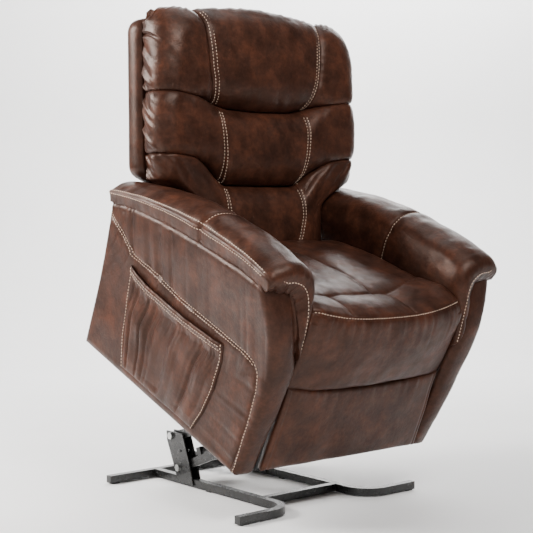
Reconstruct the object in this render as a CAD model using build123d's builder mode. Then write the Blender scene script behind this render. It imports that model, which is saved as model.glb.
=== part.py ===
from build123d import *
import os
from math import atan2, cos, degrees, hypot, radians, sin

# Lift recliner chair, modelled in its raised position (joint value 0).
# X runs to the sitter's left, the chair faces -Y, Z is up and the floor is Z = 0.
# Two side-view frames are used.  Base frame: distance behind a datum line, height above the floor.
# Seat frame: u runs rearwards along the bottom of the chair body, v square to it; it tips with the chair.

DATUM_Y = -127.45         # the datum line lies this far in front of the part's origin

# Raised pose of the chair body
TILT = 24.1               # forward tip of the raised chair body, degrees
SEAT_Y = -79.3            # front bottom corner of the chair body, base frame
SEAT_Z = 139.4
C = cos(radians(TILT))
S = sin(radians(TILT))

# Welded floor base
TUBE = 22.0               # square tube
TUBE_WALL = 2.0
GLIDE = 3.0               # plastic pads below the tube
RAIL_X = 141.4            # centre line of each long rail
FRONT_FOOT_X = 328.0      # tips of the outward turned front feet
FRONT_FOOT_Y = -58.0
FOOT_BEND = 70.0
FRONT_BAR_Y = 68.0
REAR_BAR_Y = 578.0
REAR_FOOT_X = 312.0
BASE_TOP = GLIDE + TUBE

# Lift linkage
PLATE = 5.0               # bracket plate
LINK = 12.0               # lift link thickness
LINK_DEPTH = 26.0
BOLT_R = 6.0
RUN = 0.05                # running clearance on a radius
P_UPPER = (474.0, 142.0)  # fixed pivots on the base, base frame
P_LOWER = (436.0, 51.0)
Q_UPPER = (140.0, 73.3)   # pivots on the chair body, seat frame
Q_LOWER = (113.0, 38.1)
UPPER_PIVOT_SLACK = 1.6   # the four-bar is opened at Q_UPPER, so that hole is eased
BRACKET_OUT = RAIL_X + TUBE / 2
BRACKET_IN = RAIL_X - TUBE / 2
LINK_X = RAIL_X - LINK / 2

# Lift actuator
ACT_BASE = (540.0, 50.0)  # base frame
ACT_SEAT = (90.0, 120.0)  # seat frame
ACT_EASE = (1.9, -2.4)    # eased hole centre from the pin at rest, base frame directions
ACT_SLACK = 3.3

# Chair body chassis, seat frame
RAIL_IN = 205.0
RAIL_OUT = 225.0
RAIL_V = (15.0, 55.0)

# Footrest linkage, seat frame
ARM_ROOT = (181.4, 233.6)
ARM_TIP = (201.1, 30.3)
BOARD_HINGE = (32.0, 215.0)
GUIDE_ROOT = (234.4, 248.9)
GUIDE_TIP = (246.6, 35.5)
BRACE_DROP = (4.2, -28.2)  # the brace runs parallel to the rocker, this far from it
F_LINK = 6.0
F_DEPTH = 22.0
F_PIN = 4.0
LAYERS = [232.0, 240.0, 248.0, 256.0]   # inner x of brace, arm, rocker and guide

# Back
BACK_HINGE = (600.0, 300.0)             # seat frame
CRANK = 70.0
CRANK_X = -75.0
FOOT_CRANK = 45.0
FOOT_CRANK_X = 75.0
PIN_R = 5.0


def base_side(x):
    """Side-view plane of the base frame."""
    return Plane(origin=(x, DATUM_Y, 0), x_dir=(0, 1, 0), z_dir=(1, 0, 0))


def base_level(z):
    """Plan plane of the base frame."""
    return Plane(origin=(0, DATUM_Y, z), x_dir=(1, 0, 0), z_dir=(0, 0, 1))


def base_front(y):
    """Front-view plane of the base frame; its normal points forward."""
    return Plane(origin=(0, DATUM_Y + y, 0), x_dir=(1, 0, 0), z_dir=(0, -1, 0))


def seat_side(x):
    """Side-view plane of the tipped seat frame."""
    return Plane(origin=(x, DATUM_Y + SEAT_Y, SEAT_Z), x_dir=(0, C, S), z_dir=(1, 0, 0))


def seat_front(u):
    """Front-view plane of the seat frame, a distance u behind its front."""
    origin = (0, DATUM_Y + SEAT_Y + u * C, SEAT_Z + u * S)
    return Plane(origin=origin, x_dir=(1, 0, 0), z_dir=(0, -C, -S))


def to_base(point):
    """Seat-frame point as a base-frame point, in the raised pose."""
    u, v = point
    return (u * C - v * S + SEAT_Y, u * S + v * C + SEAT_Z)


def save(part, name):
    part.label = name
    export_step(part, f"parts/{name}.step")


def block(plane, low, high, amount):
    """A box between two corners of a plane, extruded along its normal."""
    with BuildPart() as piece:
        with BuildSketch(plane):
            with Locations(((low[0] + high[0]) / 2, (low[1] + high[1]) / 2)):
                Rectangle(high[0] - low[0], high[1] - low[1])
        extrude(amount=amount)
    return piece.part


def plate(plane, outline, amount, holes=()):
    """A flat plate with round holes, each given as (centre, radius)."""
    with BuildPart() as piece:
        with BuildSketch(plane):
            with BuildLine():
                Polyline(*outline, close=True)
            make_face()
            for centre, radius in holes:
                with Locations(centre):
                    Circle(radius, mode=Mode.SUBTRACT)
        extrude(amount=amount)
    return piece.part


def rod(plane, centre, radius, amount, bore=0.0):
    """A round bar or tube square to a plane."""
    with BuildPart() as piece:
        with BuildSketch(plane):
            with Locations(centre):
                Circle(radius)
                if bore:
                    Circle(bore, mode=Mode.SUBTRACT)
        extrude(amount=amount)
    return piece.part


def square_tube(plane, centre, size, amount):
    """A square tube with open ends, square to a plane."""
    with BuildPart() as piece:
        with BuildSketch(plane):
            with Locations(centre):
                Rectangle(size, size)
                Rectangle(size - 2 * TUBE_WALL, size - 2 * TUBE_WALL, mode=Mode.SUBTRACT)
        extrude(amount=amount)
    return piece.part


def bar(plane, a, b, depth, thickness, hole_a, hole_b):
    """A flat link with round ends and a pivot hole at each end."""
    turn = degrees(atan2(b[1] - a[1], b[0] - a[0]))
    middle = ((a[0] + b[0]) / 2, (a[1] + b[1]) / 2, 0)
    with BuildPart() as piece:
        with BuildSketch(plane):
            with Locations(Location(middle, (0, 0, turn))):
                SlotCenterToCenter(hypot(b[0] - a[0], b[1] - a[1]), depth)
            with Locations(a):
                Circle(hole_a, mode=Mode.SUBTRACT)
            with Locations(b):
                Circle(hole_b, mode=Mode.SUBTRACT)
        extrude(amount=thickness)
    return piece.part


def joined(*pieces):
    """One node from several solids; those that touch become one solid."""
    with BuildPart() as group:
        for piece in pieces:
            add(piece)
    return group.part


def opposite(piece):
    """The same piece on the other side of the chair."""
    with BuildPart() as other:
        mirror(piece, about=Plane.YZ)
    return other.part


def both(piece):
    return joined(piece, opposite(piece))


def cushion(plane, outline, amount, radius):
    """A soft pad: an extruded outline with its long edges rounded."""
    with BuildPart() as pad:
        with BuildSketch(plane):
            with BuildLine():
                Polyline(*outline, close=True)
            make_face()
        extrude(amount=amount)
        ends = pad.faces().filter_by(lambda f: abs(f.normal_at().dot(plane.z_dir)) > 0.99)
        fillet(ends.edges(), radius=radius)
    return pad.part


os.makedirs("parts", exist_ok=True)

# ---------------------------------------------------------------- floor base
rail_plane = base_level(GLIDE + TUBE / 2)
with BuildPart() as base_rail_left:
    with BuildLine(rail_plane):
        rail_path = FilletPolyline(
            (FRONT_FOOT_X, FRONT_FOOT_Y),
            (RAIL_X, FRONT_FOOT_Y),
            (RAIL_X, REAR_BAR_Y - TUBE / 2),
            radius=FOOT_BEND,
        )
    with BuildSketch(Plane(origin=rail_path @ 0, x_dir=(0, 0, 1), z_dir=rail_path % 0)):
        Rectangle(TUBE, TUBE)
        Rectangle(TUBE - 2 * TUBE_WALL, TUBE - 2 * TUBE_WALL, mode=Mode.SUBTRACT)
    sweep(path=rail_path)
save(base_rail_left.part, "base_rail_left")

base_rail_right = opposite(base_rail_left.part)
save(base_rail_right, "base_rail_right")


front_bar = square_tube(base_side(-BRACKET_IN), (FRONT_BAR_Y, GLIDE + TUBE / 2), TUBE, 2 * BRACKET_IN)
rear_bar = square_tube(base_side(-REAR_FOOT_X), (REAR_BAR_Y, GLIDE + TUBE / 2), TUBE, 2 * REAR_FOOT_X)
save(joined(front_bar, rear_bar), "base_cross_bars")

# Moulded end caps: a plug inside the tube and a lid over its end
CAP_LID = 3.0
CAP_PLUG = 14.0
PLUG = TUBE - 2 * TUBE_WALL - 0.1
with BuildPart() as foot_caps:
    for side in (1, -1):
        for tip_x, tip_y in ((FRONT_FOOT_X, FRONT_FOOT_Y), (REAR_FOOT_X, REAR_BAR_Y)):
            with Locations((side * (tip_x + CAP_LID / 2), DATUM_Y + tip_y, GLIDE + TUBE / 2)):
                Box(CAP_LID, TUBE, TUBE)
            with Locations((side * (tip_x - CAP_PLUG / 2), DATUM_Y + tip_y, GLIDE + TUBE / 2)):
                Box(CAP_PLUG, PLUG, PLUG)
save(foot_caps.part, "foot_caps")

with BuildPart() as floor_glides:
    for side in (1, -1):
        for x, y in ((FRONT_FOOT_X - 18, FRONT_FOOT_Y), (REAR_FOOT_X - 18, REAR_BAR_Y), (RAIL_X, 300.0)):
            with Locations((side * x, DATUM_Y + y, GLIDE / 2)):
                Box(24, 20, GLIDE)
save(floor_glides.part, "floor_glides")

# Pivot brackets: two plates either side of the rail, closed by a web behind the links
WEB_LOW = (446.0, BASE_TOP)
WEB_HIGH = (497.0, 128.0)
bracket_outline = [(366, 8), (386, 72), (420, 155), (499, 155), WEB_HIGH, (446, 20), (440, 8)]
bracket_holes = ((P_UPPER, BOLT_R + RUN), (P_LOWER, BOLT_R + RUN), ((425, 103), 4.0))
web_outline = [WEB_LOW, WEB_HIGH, (WEB_HIGH[0] - 5.5, WEB_HIGH[1]), (WEB_LOW[0] - 5.5, WEB_LOW[1])]
pivot_bracket = joined(
    plate(base_side(BRACKET_OUT), bracket_outline, PLATE, bracket_holes),
    plate(base_side(BRACKET_IN - PLATE), bracket_outline, PLATE, bracket_holes),
    plate(base_side(BRACKET_IN), web_outline, TUBE),
)
save(pivot_bracket, "pivot_bracket_left")
save(opposite(pivot_bracket), "pivot_bracket_right")

# Shoulder bolts with hexagon heads, their nuts, and spacers that centre the links
HEAD = 8.0
HEX_R = 11.0
NUT = 9.0
with BuildPart() as pivot_bolts:
    for centre in (P_UPPER, P_LOWER):
        with BuildSketch(base_side(BRACKET_IN - PLATE - NUT - 3)):
            with Locations(centre):
                Circle(BOLT_R)
        extrude(amount=BRACKET_OUT + 2 * PLATE - BRACKET_IN + NUT + 3)
        with BuildSketch(base_side(BRACKET_OUT + PLATE)):
            with Locations(centre):
                RegularPolygon(HEX_R, 6)
        extrude(amount=HEAD)
save(both(pivot_bolts.part), "pivot_bolts")

with BuildPart() as pivot_nuts:
    for centre in (P_UPPER, P_LOWER):
        with BuildSketch(base_side(BRACKET_IN - PLATE - NUT)):
            with Locations(centre):
                RegularPolygon(HEX_R, 6)
                Circle(BOLT_R + RUN, mode=Mode.SUBTRACT)
        extrude(amount=NUT)
save(both(pivot_nuts.part), "pivot_nuts")

SPACER = (TUBE - LINK) / 2 - 0.1
with BuildPart() as pivot_spacers:
    for centre in (P_UPPER, P_LOWER):
        for x in (BRACKET_IN, BRACKET_OUT - SPACER):
            with BuildSketch(base_side(x)):
                with Locations(centre):
                    Circle(10.0)
                    Circle(BOLT_R + RUN, mode=Mode.SUBTRACT)
            extrude(amount=SPACER)
save(both(pivot_spacers.part), "pivot_spacers")

# Clevis that carries the motor end of the lift actuator, welded on the rear bar
EAR = 6.0
EYE = 16.0
clevis_outline = [(568, BASE_TOP), (588, BASE_TOP), (562, 66), (532, 66), (524, 50), (532, 36)]
lift_clevis = both(
    joined(
        plate(base_side(EYE / 2 + 0.5), clevis_outline, EAR, ((ACT_BASE, BOLT_R + RUN),)),
        rod(base_side(0), ACT_BASE, BOLT_R, EYE / 2 + EAR + 4),
    )
)
save(lift_clevis, "lift_clevis")

# ---------------------------------------------------------------- lift links
Q_LOWER_UP = to_base(Q_LOWER)
Q_UPPER_UP = to_base(Q_UPPER)
lower_lift_links = both(
    bar(base_side(LINK_X), P_LOWER, Q_LOWER_UP, LINK_DEPTH, LINK, BOLT_R + RUN, BOLT_R + RUN)
)
save(lower_lift_links, "lower_lift_links")

TORSION_AT = 0.65         # place of the torsion tube along the lower links
torsion_centre = (
    P_LOWER[0] + TORSION_AT * (Q_LOWER_UP[0] - P_LOWER[0]),
    P_LOWER[1] + TORSION_AT * (Q_LOWER_UP[1] - P_LOWER[1]),
)
save(rod(base_side(-LINK_X), torsion_centre, 11.0, 2 * LINK_X, 9.0), "lift_torsion_tube")

upper_hole = BOLT_R + UPPER_PIVOT_SLACK
upper_lift_links = both(
    bar(base_side(LINK_X), P_UPPER, Q_UPPER_UP, LINK_DEPTH, LINK, BOLT_R + RUN, upper_hole)
)
save(upper_lift_links, "upper_lift_links")

# ---------------------------------------------------------------- lift actuator
ACT_SEAT_UP = to_base(ACT_SEAT)
ACT_LENGTH = hypot(ACT_SEAT_UP[0] - ACT_BASE[0], ACT_SEAT_UP[1] - ACT_BASE[1])
ACT_RUN = ((ACT_SEAT_UP[0] - ACT_BASE[0]) / ACT_LENGTH, (ACT_SEAT_UP[1] - ACT_BASE[1]) / ACT_LENGTH)
act_origin = Vector(0, DATUM_Y + ACT_BASE[0], ACT_BASE[1])
act_dir = Vector(0, ACT_RUN[0], ACT_RUN[1])
TUBE_R = 20.0
ROD_R = 10.0


def along(start):
    """Plane square to the lift actuator, a distance from its motor pivot; local y points up from it."""
    return Plane(origin=act_origin + act_dir * start, x_dir=(1, 0, 0), z_dir=act_dir)


ACT_TUBE_END = 400.0
with BuildPart() as lift_actuator_tube:
    with BuildSketch(along(42)):
        Circle(TUBE_R)
        Circle(ROD_R + RUN, mode=Mode.SUBTRACT)
    extrude(amount=ACT_TUBE_END - 42)
save(lift_actuator_tube.part, "lift_actuator_tube")

with BuildPart() as lift_motor:
    with BuildSketch(base_side(-EYE / 2)):
        with Locations(ACT_BASE):
            Circle(13.0)
    extrude(amount=EYE)
    with BuildSketch(along(0)):
        Rectangle(EYE, 2 * BOLT_R + 8)
    extrude(amount=24)
    with BuildSketch(along(22)):
        with Locations((22.5, 0)):
            Rectangle(95, 46)
    extrude(amount=20)
    with BuildSketch(along(42)):
        with Locations((46, 0)):
            Circle(22.0)
    extrude(amount=120)
    with BuildSketch(base_side(-EYE)):
        with Locations(ACT_BASE):
            Circle(BOLT_R + RUN)
    extrude(amount=2 * EYE, mode=Mode.SUBTRACT)
save(lift_motor.part, "lift_motor")

with BuildPart() as lift_actuator_rod:
    with BuildSketch(along(220)):
        Circle(ROD_R)
    extrude(amount=ACT_LENGTH - 220)
    with BuildSketch(base_side(-EYE / 2)):
        with Locations(ACT_SEAT_UP):
            Circle(15.0)
    extrude(amount=EYE)
    with BuildSketch(base_side(-EYE / 2 - 12)):
        with Locations(ACT_SEAT_UP):
            Circle(BOLT_R)
    extrude(amount=EYE + 24)
save(lift_actuator_rod.part, "lift_actuator_rod")

# ---------------------------------------------------------------- chassis of the chair body
rail_left = block(seat_side(RAIL_IN), (20, RAIL_V[0]), (700, RAIL_V[1]), RAIL_OUT - RAIL_IN)
rail_core = block(seat_side(RAIL_IN + 2), (22, RAIL_V[0] + 2), (698, RAIL_V[1] - 2), RAIL_OUT - RAIL_IN - 4)
with BuildPart() as chassis_rail:
    add(rail_left)
    add(rail_core, mode=Mode.SUBTRACT)
save(both(chassis_rail.part), "chassis_rails")

chassis_tubes = [
    square_tube(seat_side(-RAIL_IN), (u, v), 30, 2 * RAIL_IN) for u, v in ((60.0, 40.0), (685.0, 52.0))
]
save(joined(*chassis_tubes), "chassis_cross_tubes")

# Plates that hold the front ends of the lift links, with their pins
hanger_outline = [(75, 22), (75, 70), (118, 92), (158, 92), (160, 62), (132, 20)]
hanger = joined(
    plate(seat_side(BRACKET_OUT), hanger_outline, PLATE),
    plate(seat_side(BRACKET_IN - PLATE), hanger_outline, PLATE),
    rod(seat_side(BRACKET_IN), Q_UPPER, BOLT_R, TUBE),
    rod(seat_side(BRACKET_IN), Q_LOWER, BOLT_R, TUBE),
    rod(seat_side(BRACKET_OUT + PLATE), Q_UPPER, 9.0, 5.0),
    rod(seat_side(BRACKET_OUT + PLATE), Q_LOWER, 9.0, 5.0),
)
save(both(hanger), "lift_link_hangers")

ease_seat = (
    ACT_SEAT[0] + ACT_EASE[0] * C + ACT_EASE[1] * S,
    ACT_SEAT[1] - ACT_EASE[0] * S + ACT_EASE[1] * C,
)
horn_outline = [(48, 55), (72, 55), (112, 108), (112, 134), (92, 144), (70, 134)]
horn = plate(seat_side(ROD_R + 0.5), horn_outline, EAR, ((ease_seat, BOLT_R + ACT_SLACK),))
save(both(horn), "lift_horns")

# Arm mounts tie the chassis rails to the wooden arm frames
ARM_PLY = 300.0
ARM_PLY_THICK = 18.0
mounts = [
    block(seat_side(RAIL_OUT), (u, 20), (u + 25, 50), ARM_PLY - RAIL_OUT)
    for u in (330.0, 645.0)
]
save(both(joined(*mounts)), "arm_mounts")

# Seat frame: two long rails on posts, closed by cross members
SEAT_RAIL_V = (246.0, 266.0)
seat_rail = block(seat_side(RAIL_IN), (70, SEAT_RAIL_V[0]), (525, SEAT_RAIL_V[1]), RAIL_OUT - RAIL_IN)
posts = [
    block(seat_side(RAIL_IN), (u, RAIL_V[1]), (u + 20, SEAT_RAIL_V[0]), RAIL_OUT - RAIL_IN)
    for u in (300.0, 505.0)
]
ends = [
    block(seat_side(-RAIL_IN), (u, SEAT_RAIL_V[0]), (u + 20, SEAT_RAIL_V[1]), 2 * RAIL_IN)
    for u in (70.0, 505.0)
]
save(joined(both(joined(seat_rail, *posts)), *ends), "seat_frame")

with BuildPart() as seat_webbing:
    for x in (-160.0, -80.0, 0.0, 80.0, 160.0):
        with BuildSketch(seat_side(x - 25)):
            with Locations((297.5, SEAT_RAIL_V[1] + 1)):
                Rectangle(455, 2)
        extrude(amount=50)
    for u in (150.0, 250.0, 350.0, 450.0):
        with BuildSketch(seat_side(-215)):
            with Locations((u, SEAT_RAIL_V[1] + 3.5)):
                Rectangle(50, 2)
        extrude(amount=430)
save(seat_webbing.part, "seat_webbing")

# Bearings of the footrest arms and guides
SHAFT_R = 10.0
side_outline = [(150, 205), (150, 262), (215, 262), (215, 205)]
side_bearing = plate(seat_side(RAIL_OUT + 0.5), side_outline, 4.5, ((ARM_ROOT, SHAFT_R + RUN),))
save(both(side_bearing), "footrest_bearings")

guide_mount = joined(
    block(seat_side(LAYERS[3] + F_LINK + 1), (GUIDE_ROOT[0] - 18, 225), (GUIDE_ROOT[0] + 18, 262), 37),
    rod(seat_side(LAYERS[3]), GUIDE_ROOT, F_PIN, F_LINK + 1),
)
save(both(guide_mount), "footrest_guide_mounts")

# Footrest and recline actuators lie along the seat, above two cross tubes
FOOT_ACT_V = ARM_ROOT[1] - FOOT_CRANK * (1 + cos(radians(45))) / 2
BACK_ACT_V = BACK_HINGE[1] - CRANK * (1 + cos(radians(20))) / 2
actuator_mounts = [square_tube(seat_side(-RAIL_IN), (u, 138), 20, 2 * RAIL_IN) for u in (355.0, 470.0)]

for x, v in ((FOOT_CRANK_X, FOOT_ACT_V), (CRANK_X, BACK_ACT_V)):
    for u in (355.0, 470.0):
        actuator_mounts.append(block(seat_side(x - 12), (u - 8, 148), (u + 8, v - TUBE_R), 24))
save(joined(*actuator_mounts), "actuator_mounts")


def fixed_actuator(x, v, u_low, u_high, motor_u):
    """Outer tube, gearbox and motor of an actuator that lies along u."""
    with BuildPart() as housing:
        with BuildSketch(seat_front(u_high)):
            with Locations((x, v)):
                Circle(TUBE_R)
        extrude(amount=u_high - u_low)
        with BuildSketch(seat_front(motor_u + 20)):
            with Locations((x + 22, v)):
                Rectangle(90, 36)
        extrude(amount=20)
        with BuildSketch(seat_front(motor_u)):
            with Locations((x + 46, v)):
                Circle(18.0)
        extrude(amount=80)
        with BuildSketch(seat_front(u_high + 1)):
            with Locations((x, v)):
                Circle(ROD_R + RUN)
        extrude(amount=u_high - u_low + 2, mode=Mode.SUBTRACT)
    return housing.part


save(fixed_actuator(FOOT_CRANK_X, FOOT_ACT_V, 250.0, 520.0, 500.0), "footrest_motor")
save(fixed_actuator(CRANK_X, BACK_ACT_V, 320.0, 500.0, 400.0), "recline_motor")

FOOT_ROD_U = ARM_ROOT[0] + 33.2   # slot centre at rest
BACK_ROD_U = BACK_HINGE[0] + 24.1


def slotted_rod(x, v, u_tip, u_inner, slot, slot_width, play):
    """Actuator rod along u that ends in an eye with an upright slot for the crank pin."""
    with BuildPart() as piece:
        low, high = sorted((u_tip, u_inner))
        with BuildSketch(seat_front(high)):
            with Locations((x, v)):
                Circle(ROD_R)
        extrude(amount=high - low)
        with BuildSketch(seat_side(x - 5)):
            with Locations(Location((u_tip, v, 0), (0, 0, 90))):
                SlotOverall(slot + 34, 34)
        extrude(amount=10)
        with BuildSketch(seat_side(x - 15)):
            with Locations(Location((u_tip, v, 0), (0, 0, 90))):
                SlotOverall(slot + slot_width + play, slot_width)
        extrude(amount=30, mode=Mode.SUBTRACT)
        with BuildSketch(seat_side(x - 15)):
            with Locations((u_tip, v)):
                Rectangle(50, slot + 34)
        extrude(amount=10, mode=Mode.SUBTRACT)
        with BuildSketch(seat_side(x + 5)):
            with Locations((u_tip, v)):
                Rectangle(50, slot + 34)
        extrude(amount=10, mode=Mode.SUBTRACT)
    return piece.part


foot_slot = FOOT_CRANK * (1 - cos(radians(45)))
back_slot = CRANK * (1 - cos(radians(20)))
footrest_rod = slotted_rod(FOOT_CRANK_X, FOOT_ACT_V, FOOT_ROD_U, 440.0, foot_slot, 2 * (PIN_R + 2.2), 5)
recline_rod = slotted_rod(CRANK_X, BACK_ACT_V, BACK_ROD_U, 400.0, back_slot, 2 * (PIN_R + 0.4), 1)
save(footrest_rod, "footrest_actuator_rod")
save(recline_rod, "recline_actuator_rod")

# Control box with its mains inlet recess
with BuildPart() as control_box:
    add(block(seat_side(-196), (372, 150), (462, 190), 90))
    with BuildSketch(seat_side(-196)):
        with Locations((417, 170)):
            RectangleRounded(26, 18, 3)
    extrude(amount=12, mode=Mode.SUBTRACT)
save(control_box.part, "control_box")

# ---------------------------------------------------------------- upholstered arms
frame_outline = [(22, 8), (690, 8), (690, 415), (560, 455), (380, 482), (60, 495), (22, 480)]
save(both(plate(seat_side(ARM_PLY), frame_outline, ARM_PLY_THICK)), "arm_frames")

# Outer skins flare outwards from front to rear at the bottom and from the knee upwards in front
SKIN = 14.0
FRONT_U = -34.0
REAR_U = 722.0
skin_front = [(366, 0), (370, 250), (396, 350), (416, 440), (424, 540)]
skin_rear = [(396, 0), (405, 250), (411, 350), (417, 440), (422, 540)]
side_outline = [
    (0, 0), (724, 0), (718, 446), (581, 484), (388, 510), (207, 522), (30, 526),
    (-8, 500), (-30, 420), (-34, 325), (-30, 200),
]


def skin_slab(gap, thickness, outline):
    """A slab that follows the flared side of the arm, trimmed to a side-view outline."""
    with BuildPart() as slab:
        for u, curve in ((FRONT_U - 6, skin_front), (REAR_U + 6, skin_rear)):
            with BuildSketch(seat_front(u)):
                with BuildLine():
                    outer = [(x + gap + thickness, v) for x, v in curve]
                    inner = [(x + gap, v) for x, v in curve]
                    Polyline(*outer, *reversed(inner), close=True)
                make_face()
        loft(ruled=True)
        with BuildSketch(seat_side(300)):
            with BuildLine():
                Polyline(*outline, close=True)
            make_face()
        extrude(amount=200, mode=Mode.INTERSECT)
    return slab.part


side_panel = skin_slab(-SKIN, SKIN, side_outline)
save(side_panel, "side_panel_left")
save(opposite(side_panel), "side_panel_right")

# Front face of each arm, between the footrest opening and the side panel
front_view = [
    (289, 2), (350, 2), (353, 250), (378, 350), (398, 440), (405, 515), (330, 515), (314, 430), (290, 300),
]
front_profile = [
    (4, 0), (-14, 120), (-30, 250), (-34, 330), (-30, 420), (-8, 500), (0, 520),
    (20, 520), (10, 440), (0, 330), (4, 120), (14, 0),
]
with BuildPart() as arm_front:
    with BuildSketch(seat_side(280)):
        with BuildLine():
            Polyline(*front_profile, close=True)
        make_face()
    extrude(amount=140)
    with BuildSketch(seat_front(60)):
        with BuildLine():
            Polyline(*front_view, close=True)
        make_face()
    extrude(amount=120, mode=Mode.INTERSECT)
save(arm_front.part, "arm_front_left")
save(opposite(arm_front.part), "arm_front_right")

lining_view = [(289, 268), (297, 268), (299.5, 340), (299.5, 500), (291.5, 500), (291.5, 340)]
with BuildPart() as arm_lining:
    with BuildSketch(seat_front(560)):
        with BuildLine():
            Polyline(*lining_view, close=True)
        make_face()
    extrude(amount=545)
save(both(arm_lining.part), "arm_linings")

pad_outline = [
    (718, 450), (581, 487), (388, 513), (207, 525), (30, 528), (-10, 522), (-34, 548),
    (-14, 574), (35, 591), (110, 606), (306, 604), (438, 586), (551, 563), (667, 531), (714, 486),
]
arm_pad = cushion(seat_side(322), pad_outline, 102, 14)
save(arm_pad, "arm_pad_left")
save(opposite(arm_pad), "arm_pad_right")

# Gathered pocket on the sitter's right: a pouch skin on rims, open at the top
POUCH_GAP = 16.0
POUCH_SKIN = 3.0
pouch_outer = [
    (150, 302), (142, 200), (170, 80), (192, 30), (528, 26), (558, 120), (576, 220), (576, 314), (485, 304),
    (350, 302),
]
pouch_inner = [(162, 330), (156, 205), (182, 90), (202, 44), (518, 40), (546, 124), (564, 222), (564, 345)]
with BuildPart() as pouch_rim:
    add(skin_slab(0.0, POUCH_GAP, pouch_outer))
    add(skin_slab(-1.0, POUCH_GAP + 2, pouch_inner), mode=Mode.SUBTRACT)
side_pocket = joined(pouch_rim.part, skin_slab(POUCH_GAP, POUCH_SKIN, pouch_outer))
save(opposite(side_pocket), "side_pocket")

save(block(seat_side(-345), (702, 26), (710, 262), 690), "rear_panel")

# ---------------------------------------------------------------- seat
seat_outline = [
    (-34, 262), (-46, 330), (-44, 430), (-24, 472), (30, 480), (300, 468), (505, 456),
    (505, 274), (60, 274), (50, 262),
]
seat_cushion = cushion(seat_side(-262), seat_outline, 524, 16)
save(seat_cushion, "seat_cushion")

# ---------------------------------------------------------------- footrest
def pair_bar(layer, a, b, hole_a, hole_b):
    return bar(seat_side(layer), a, b, F_DEPTH, F_LINK, hole_a, hole_b)


def shifted(point, step):
    return (point[0] + step[0], point[1] + step[1])


def stud(x, point, length):
    return rod(seat_side(x), point, F_PIN, length)


brace_root = shifted(ARM_TIP, BRACE_DROP)
brace_tip = shifted(BOARD_HINGE, BRACE_DROP)
hole = F_PIN + RUN

arm_link = joined(
    pair_bar(LAYERS[1], ARM_ROOT, ARM_TIP, SHAFT_R + RUN, 1.5),
    pair_bar(LAYERS[1], ARM_TIP, brace_root, 1.5, 1.5),
    stud(LAYERS[1] + F_LINK, ARM_TIP, 8.0),
    stud(LAYERS[0], brace_root, 8.0),
)
save(both(arm_link), "footrest_arms")

crank_rest = (ARM_ROOT[0] + FOOT_CRANK * sin(radians(45)), ARM_ROOT[1] - FOOT_CRANK * cos(radians(45)))
crank_a = bar(seat_side(FOOT_CRANK_X + 7), ARM_ROOT, crank_rest, 26, 5, SHAFT_R - 1, PIN_R)
crank_b = bar(seat_side(FOOT_CRANK_X - 12), ARM_ROOT, crank_rest, 26, 5, SHAFT_R - 1, PIN_R)
footrest_shaft = joined(
    rod(seat_side(-LAYERS[1] - F_LINK), ARM_ROOT, SHAFT_R, 2 * (LAYERS[1] + F_LINK), 7.0),
    crank_a,
    crank_b,
    rod(seat_side(FOOT_CRANK_X - 12), crank_rest, PIN_R, 24),
)
save(footrest_shaft, "footrest_shaft")

rocker = joined(
    pair_bar(LAYERS[2], ARM_TIP, BOARD_HINGE, hole, hole),
    pair_bar(LAYERS[2], shifted(ARM_TIP, (16, 2)), GUIDE_TIP, 1.5, 1.5),
    stud(LAYERS[2] + F_LINK, GUIDE_TIP, 8.0),
)
with BuildPart() as rocker_bored:
    add(rocker)
    with BuildSketch(seat_side(LAYERS[2])):
        with Locations(ARM_TIP):
            Circle(hole)
    extrude(amount=F_LINK, mode=Mode.SUBTRACT)
save(both(rocker_bored.part), "footrest_rockers")

save(both(pair_bar(LAYERS[3], GUIDE_ROOT, GUIDE_TIP, hole, F_PIN + 1.3)), "footrest_guides")
save(both(pair_bar(LAYERS[0], brace_root, brace_tip, hole, F_PIN + 0.3)), "footrest_braces")

BOARD_FRONT = 6.0
BOARD_BACK = 18.0
hinge_outline = [
    (BOARD_BACK, 165), (BOARD_BACK, 235), (BOARD_HINGE[0] + 6, 226), (BOARD_HINGE[0] + 14, 215),
    (BOARD_HINGE[0] + 17, 186), (BOARD_HINGE[0] + 4, 172),
]
board_hinge = joined(
    plate(seat_side(LAYERS[1]), hinge_outline, F_LINK),
    block(seat_side(212), (BOARD_BACK, 165), (BOARD_BACK + 3, 235), LAYERS[1] + F_LINK - 212),
    stud(LAYERS[1] + F_LINK, BOARD_HINGE, 8.0),
    stud(LAYERS[0], brace_tip, 8.0),
)
save(both(board_hinge), "footrest_hinge_plates")

save(block(seat_side(-232), (BOARD_FRONT, 24), (BOARD_BACK, 246), 464), "footrest_board")

pad_view = [(-283, 16), (283, 16), (270, 252), (-270, 252)]
save(cushion(seat_front(BOARD_FRONT), pad_view, 44, 12), "footrest_pad")

# ---------------------------------------------------------------- back
HINGE_UP = to_base(BACK_HINGE)
HINGE_PIN = 8.0
UPRIGHT_X = 235.0

hinge_bracket = joined(
    plate(
        seat_side(UPRIGHT_X + 27),
        [(572, 40), (628, 40), (628, 300), (612, 324), (588, 324), (572, 300)],
        6,
    ),
    block(seat_side(RAIL_OUT), (572, 40), (628, 55), UPRIGHT_X + 27 - RAIL_OUT),
    rod(seat_side(UPRIGHT_X - 4), BACK_HINGE, HINGE_PIN, 31),
)
save(both(hinge_bracket), "recline_hinges")

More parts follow.
